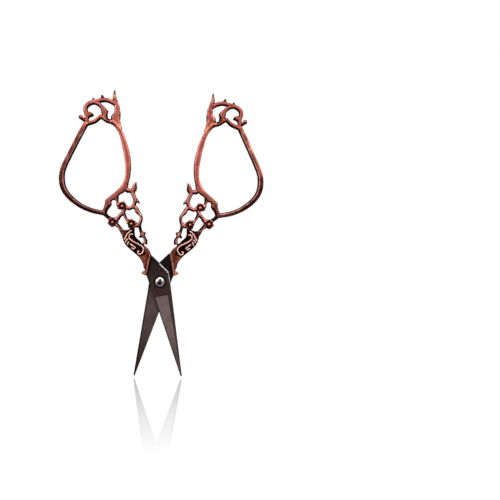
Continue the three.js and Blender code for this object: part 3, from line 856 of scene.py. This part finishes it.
def floorMaterial():
    look = floorLook
    material = bpy.data.materials.new("pale_floor")
    material.use_nodes = True
    tree = material.node_tree
    tree.nodes.clear()
    place = objectPlace(tree)
    parts = addNode(tree, "ShaderNodeSeparateXYZ", {0: place}).outputs
    seen = backgroundRays(tree, mapRange(tree, parts["Y"], *look["whiteFrom"], 0, 1))
    across = mathNode(tree, "ABSOLUTE", mathNode(tree, "ADD", parts["X"], look["shadeShift"]))
    wedge = mathNode(tree, "MULTIPLY_ADD", parts["Y"], look["shadeSpread"], across)
    inShade = mapRange(tree, wedge, *look["shadeEdge"], 1, 0)
    front = mixColour(tree, inShade, look["front"], look["shade"])
    front = addNode(tree, "ShaderNodeBsdfDiffuse", {"Color": front}).outputs[0]
    pale = addNode(tree, "ShaderNodeBsdfDiffuse", {"Color": (*look["tone"], 1)}).outputs[0]
    white = addNode(tree, "ShaderNodeEmission", {"Color": (1, 1, 1, 1),
                                                 "Strength": look["white"]}).outputs[0]
    mirror = addNode(tree, "ShaderNodeBsdfGlossy", {"Color": (1, 1, 1, 1),
                                                    "Roughness": look["mirrorRoughness"]}).outputs[0]
    # shadow and reflection are strongest under the tips and die away from them
    flat = addNode(tree, "ShaderNodeVectorMath", {0: place, 1: (1, 1, 0)}, operation="MULTIPLY")
    far = vectorLength(tree, flat.outputs[0])
    shadow = mapRange(tree, far, 0, look["shadowFade"], look["shadow"], 0)
    sheen = mapRange(tree, far, 0, look["mirrorFade"], look["mirror"], 0)
    behind = mixShader(tree, sheen, mixShader(tree, shadow, white, pale), mirror)
    out = addNode(tree, "ShaderNodeOutputMaterial")
    tree.links.new(mixShader(tree, seen, front, behind), out.inputs["Surface"])
    return material


def paleFloor():
    half, height = floorLook["half"], cadBox[0].z - floorLook["drop"] * mm
    mesh = bpy.data.meshes.new("floor")
    corners = [(x * half, y * half, height) for x, y in ((-1, -1), (1, -1), (1, 1), (-1, 1))]
    mesh.from_pydata(corners, [], [(0, 1, 2, 3)])
    mesh.materials.append(floorMaterial())
    linkPiece("floor", mesh)


# light

roomLook = {
    # dark below and bright above, with a white backdrop behind
    "glow": [(0.3, (0.05, 0.05, 0.05)), (0.48, (0.45, 0.45, 0.45)), (0.62, (0.8, 0.8, 0.8)),
             (0.9, (1, 1, 1))],
    "behind": (0.1, 0.5), "white": (1.05, 1.05, 1.05),
    # brightest in panels round the dark camera, whose stand leans to the right
    "panels": (2.2, 2.2, 2.2), "panelFront": (-0.72, -0.5), "panelBottom": (-0.2, 0.15),
    "cameraLean": -0.25, "cameraWidth": 0.31, "cameraHeight": 0.6, "cameraEdge": (0.85, 1.05),
    "cameraShare": 0.97, "camera": (0.02, 0.013, 0.012),
}

# place, aim, size and power of each lamp
softboxes = {
    "overhead": ((0, -0.25, 0.6), (0, 0, 0.03), (0.6, 0.3), 2.5),
    "left": ((-0.5, -0.45, 0.2), (0, 0, 0.02), (0.25, 0.5), 1.6),
    "right": ((0.5, -0.3, 0.4), (0, 0, 0.02), (0.35, 0.4), 2.0),
}


def studioWorld():
    look = roomLook
    world = bpy.data.worlds.new("studio")
    bpy.context.scene.world = world
    world.use_nodes = True
    tree = world.node_tree
    tree.nodes.clear()
    heading = addNode(tree, "ShaderNodeTexCoord").outputs["Generated"]
    parts = addNode(tree, "ShaderNodeSeparateXYZ", {0: heading}).outputs
    glow = colourRamp(tree, mapRange(tree, parts["Z"], -1, 1, 0, 1), look["glow"])
    panels = mapRange(tree, parts["Y"], *look["panelFront"], 1, 0)
    panels = mixColour(tree, panels, (1, 1, 1), look["panels"])
    lit = mixColour(tree, mapRange(tree, parts["Z"], *look["panelBottom"], 0, 1), (1, 1, 1), panels)
    glow = mixColour(tree, 1.0, glow, lit, "MULTIPLY")
    # the camera is an oval in front
    lean = mathNode(tree, "MULTIPLY_ADD", parts["Z"], look["cameraLean"], parts["X"])
    across = mathNode(tree, "DIVIDE", lean, look["cameraWidth"])
    upright = mathNode(tree, "DIVIDE", parts["Z"], look["cameraHeight"])
    oval = addNode(tree, "ShaderNodeCombineXYZ", {"X": across, "Y": upright}).outputs[0]
    inFront = mapRange(tree, vectorLength(tree, oval), *look["cameraEdge"], look["cameraShare"], 0)
    room = mixColour(tree, inFront, glow, look["camera"])
    behind = mapRange(tree, parts["Y"], *look["behind"], 0, 1)
    room = mixColour(tree, behind, room, look["white"])
    soft = addNode(tree, "ShaderNodeBackground", {"Color": room, "Strength": 1.0}).outputs[0]
    backdrop = addNode(tree, "ShaderNodeBackground", {"Color": (1, 1, 1, 1), "Strength": 1.0}).outputs[0]
    both = mixShader(tree, backgroundRays(tree, behind), soft, backdrop)
    tree.links.new(both, addNode(tree, "ShaderNodeOutputWorld").inputs["Surface"])


def softbox(name, place, aim, size, power):
    lamp = bpy.data.lights.new(name, "AREA")
    lamp.shape = "RECTANGLE"
    lamp.size, lamp.size_y = size
    lamp.energy = power
    holder = linkPiece(name, lamp)
    holder.location = place
    holder.rotation_euler = (Vector(aim) - Vector(place)).to_track_quat("-Z", "Y").to_euler()


# camera: it stands on the pair's own axis and looks a little to the right of it

shot = {"lens": 68.65, "sensor": 36, "clip": (0.01, 10), "away": 420, "height": 14.66,
        "look": math.radians(5.36), "roll": math.radians(1.3)}


def photoCamera():
    camera = bpy.data.cameras.new("camera")
    camera.lens = shot["lens"]
    camera.sensor_width = shot["sensor"]
    camera.clip_start, camera.clip_end = shot["clip"]
    holder = linkPiece("camera", camera)
    ahead = Vector((math.sin(shot["look"]), math.cos(shot["look"]), 0))
    side = Vector((math.cos(shot["look"]), -math.sin(shot["look"]), 0))
    up = Vector((0, 0, 1))
    right = side * math.cos(shot["roll"]) + up * math.sin(shot["roll"])
    top = up * math.cos(shot["roll"]) - side * math.sin(shot["roll"])
    axes = Matrix((right, top, -ahead)).transposed()
    place = Vector((0, -shot["away"], shot["height"])) * mm
    holder.matrix_world = Matrix.Translation(place) @ axes.to_4x4()
    bpy.context.scene.camera = holder


paleFloor()
studioWorld()
for name, settings in softboxes.items():
    softbox(name, *settings)
photoCamera()
bpy.context.scene.view_settings.view_transform = "Standard"
print("stage, light and camera set")
